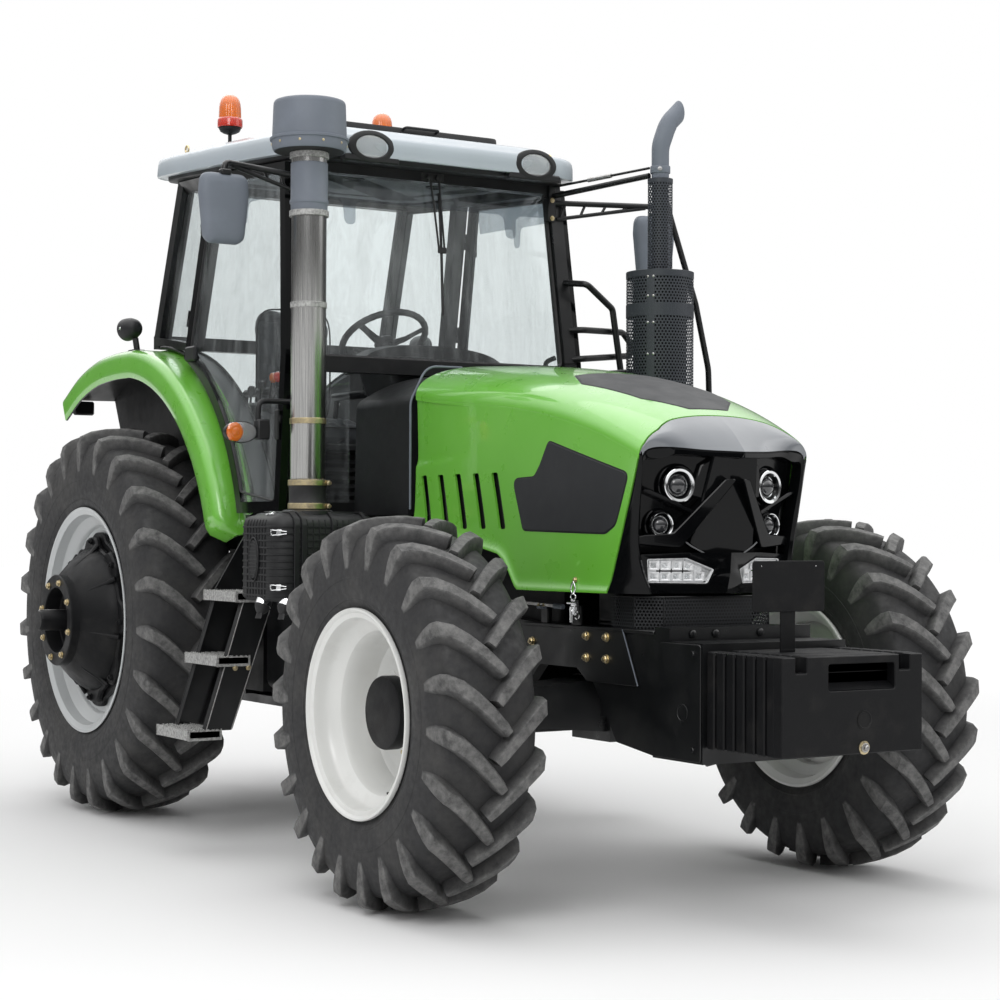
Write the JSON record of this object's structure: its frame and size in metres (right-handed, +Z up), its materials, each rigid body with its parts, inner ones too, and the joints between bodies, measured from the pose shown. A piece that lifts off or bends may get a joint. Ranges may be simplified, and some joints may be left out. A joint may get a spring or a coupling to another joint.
{
  "type": "farm tractor",
  "caption": "Four-wheel-drive farm tractor with glazed cab, tilting hood, opening doors, steered front wheels, front ballast and rear three-point linkage.",
  "frame": {"origin": "on the ground, under the middle of the tractor's overall length and on its centre plane", "axes": "+X to the tractor's left, -Y forward, +Z up"},
  "size_m": [2.4, 5.2009, 3.27],
  "materials": {
    "green_paint": "gloss",
    "black_paint": "satin",
    "black_gloss": "gloss",
    "black_plastic": "matt",
    "roof_grey": "gloss",
    "cast_black": "satin",
    "white_rim": "gloss",
    "grey_rim": "gloss",
    "tyre": "matt",
    "window_glass": "clear",
    "lamp_glass": "clear",
    "stainless": "brushed",
    "steel": "satin",
    "amber": "gloss",
    "seat_fabric": "woven",
    "cab_grey": "matt"
  },
  "bodies": {
    "chassis": {"front_frame": "black_paint", "engine": "cast_black", "transmission": "cast_black", "rear_axle": "cast_black", "front_axle": "cast_black", "driveshaft": "black_paint", "weight_carrier": "black_paint", "front_weights": "cast_black", "number_plate": "black_plastic", "lower_grille": "black_plastic", "exhaust": "black_paint", "air_intake": "stainless", "air_cleaner": "black_plastic", "steps": "black_paint", "fuel_tanks": "black_plastic", "cab_floor": "black_paint", "cab_frame": "black_paint", "cab_roof": "roof_grey", "cab_glass": "window_glass", "cowl": "black_plastic", "rear_fenders": "green_paint", "seat": "seat_fabric", "seat_base": "black_plastic", "console": "cab_grey", "steering_wheel": "black_plastic", "mirrors": "black_plastic", "work_lamps": "lamp_glass", "beacons": "amber", "turn_signals": "amber", "handrails": "black_paint", "hitch_frame": "black_paint"},
    "hood": {"hood": "green_paint", "hood_nose": "black_gloss", "headlamps": "lamp_glass"},
    "door_left": {"door_left": "black_paint", "door_glass_left": "window_glass"},
    "knuckle_left": {"knuckle_left": "cast_black"},
    "wheel_front_left": {"tyre_front_left": "tyre", "rim_front_left": "white_rim", "hub_front_left": "cast_black"},
    "wheel_rear_left": {"tyre_rear_left": "tyre", "rim_rear_left": "grey_rim", "hub_rear_left": "cast_black"},
    "door_right": {"door_right": "black_paint", "door_glass_right": "window_glass"},
    "knuckle_right": {"knuckle_right": "cast_black"},
    "wheel_front_right": {"tyre_front_right": "tyre", "rim_front_right": "white_rim", "hub_front_right": "cast_black"},
    "wheel_rear_right": {"tyre_rear_right": "tyre", "rim_rear_right": "grey_rim", "hub_rear_right": "cast_black"},
    "tie_rod": {"tie_rod": "black_paint"},
    "lift_arms": {"lift_arms": "black_paint"},
    "lower_links": {"lower_links": "black_paint"},
    "lift_rods": {"lift_rods": "black_paint"}
  },
  "joints": [
    {"name": "wheel_spin_rear_left", "type": "hinge", "parent": "chassis", "child": "wheel_rear_left", "pos_m": [0.79, 1.4825, 0.87], "axis": [1, 0, 0], "continuous": true},
    {"name": "steer_left", "type": "hinge", "parent": "chassis", "child": "knuckle_left", "pos_m": [0.62, -1.3675, 0.665], "axis": [0, 0, 1], "range_deg": [-35, 35]},
    {"name": "wheel_spin_front_left", "type": "hinge", "parent": "knuckle_left", "child": "wheel_front_left", "pos_m": [0.94, -1.3675, 0.665], "axis": [1, 0, 0], "continuous": true},
    {"name": "door_left_swing", "type": "hinge", "parent": "chassis", "child": "door_left", "pos_m": [0.69337, 1.0325, 2.06064], "axis": [-0.0424, -0.2306, 0.9721], "range_deg": [0, 70]},
    {"name": "wheel_spin_rear_right", "type": "hinge", "parent": "chassis", "child": "wheel_rear_right", "pos_m": [-0.79, 1.4825, 0.87], "axis": [1, 0, 0], "continuous": true},
    {"name": "steer_right", "type": "hinge", "parent": "chassis", "child": "knuckle_right", "pos_m": [-0.62, -1.3675, 0.665], "axis": [0, 0, 1], "range_deg": [-35, 35]},
    {"name": "wheel_spin_front_right", "type": "hinge", "parent": "knuckle_right", "child": "wheel_front_right", "pos_m": [-0.94, -1.3675, 0.665], "axis": [1, 0, 0], "continuous": true},
    {"name": "door_right_swing", "type": "hinge", "parent": "chassis", "child": "door_right", "pos_m": [-0.69337, 1.0325, 2.06064], "axis": [-0.0424, 0.2306, -0.9721], "range_deg": [0, 70]},
    {"name": "hood_tilt", "type": "hinge", "parent": "chassis", "child": "hood", "pos_m": [0, -0.5325, 1.884], "axis": [-1, 0, 0], "range_deg": [0, 50]},
    {"name": "tie_rod_slide", "type": "slide", "parent": "chassis", "child": "tie_rod", "axis": [1, 0, 0], "range_m": [-0.13, 0.13]},
    {"name": "lift_arm_swing", "type": "hinge", "parent": "chassis", "child": "lift_arms", "pos_m": [0, 1.6825, 1.215], "axis": [1, 0, 0], "range_deg": [-18, 30]},
    {"name": "lower_link_swing", "type": "hinge", "parent": "chassis", "child": "lower_links", "pos_m": [0, 1.6025, 0.57], "axis": [1, 0, 0], "range_deg": [-16, 27]},
    {"name": "lift_rod_swing", "type": "hinge", "parent": "lift_arms", "child": "lift_rods", "pos_m": [0, 2.1225, 1.15], "axis": [1, 0, 0], "range_deg": [-32, 20]}
  ],
  "couplings": [
    {"joint": "steer_right", "follows": "steer_left", "ratio": 1},
    {"joint": "tie_rod_slide", "follows": "steer_left", "m_per_rad": -0.197},
    {"joint": "lower_link_swing", "follows": "lift_arm_swing", "ratio": 0.86},
    {"joint": "lift_rod_swing", "follows": "lift_arm_swing", "ratio": -1}
  ]
}
